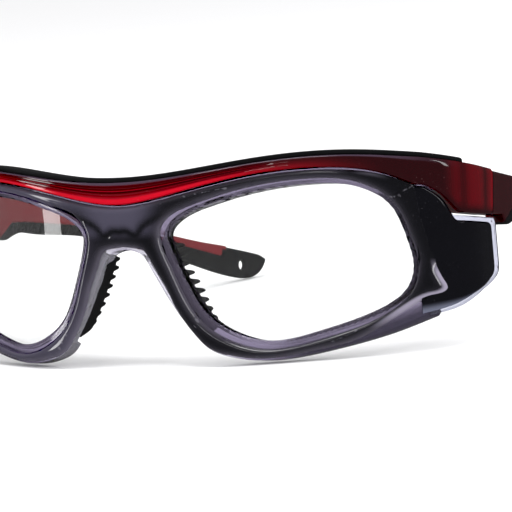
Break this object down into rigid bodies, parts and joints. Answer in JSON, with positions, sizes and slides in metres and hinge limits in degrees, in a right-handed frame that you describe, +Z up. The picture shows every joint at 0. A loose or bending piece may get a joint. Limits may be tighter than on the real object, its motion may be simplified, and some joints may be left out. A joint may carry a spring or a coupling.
{
  "type": "safety glasses",
  "caption": "Wrap-round prescription safety spectacles: dark front with clear lenses, side shields, a red brow bar, soft nose pads and folding arms with soft sleeves.",
  "frame": {"origin": "centre of the bounding box at table level, the spectacles lying open on their lens rims and arm tips", "axes": "+X to the wearer's left, +Y from the front towards the arm tips, +Z up; the wearer's level is turned by 10.41 degrees about X"},
  "size_m": [0.1412, 0.1474, 0.0451],
  "materials": {
    "smoke_crystal": "glossy clear plastic with a smoke tint",
    "smoke_dark": "glossy dark smoke",
    "red_translucent": "glossy translucent red",
    "clear_shield": "glossy clear",
    "panel_black": "glossy black",
    "clear_lens": "clear",
    "soft_black": "matte soft-touch",
    "hinge_metal": "satin"
  },
  "bodies": {
    "front": {"front_frame": "smoke_crystal", "front_cover": "smoke_dark", "brow_bar": "red_translucent", "brow_strip": "soft_black", "lens_left": "clear_lens", "lens_right": "clear_lens", "nose_pad_left": "soft_black", "nose_pad_right": "soft_black", "side_shield_left": "clear_shield", "side_shield_right": "clear_shield", "side_panel_left": "panel_black", "side_panel_right": "panel_black", "hinge_front_left": "hinge_metal", "hinge_front_right": "hinge_metal", "hinge_screw_left": "hinge_metal", "hinge_screw_right": "hinge_metal"},
    "arm_left": {"arm_left": "red_translucent", "arm_sleeve_left": "soft_black", "hinge_arm_left": "hinge_metal"},
    "arm_right": {"arm_right": "red_translucent", "arm_sleeve_right": "soft_black", "hinge_arm_right": "hinge_metal"}
  },
  "joints": [
    {"name": "arm_left_fold", "type": "hinge", "parent": "front", "child": "arm_left", "pos_m": [0.0646, -0.03271, 0.03102], "axis": [0, 0.1808, 0.9835], "range_deg": [0, 90]},
    {"name": "arm_right_fold", "type": "hinge", "parent": "front", "child": "arm_right", "pos_m": [-0.0646, -0.03271, 0.03102], "axis": [0, -0.1808, -0.9835], "range_deg": [0, 86]}
  ]
}
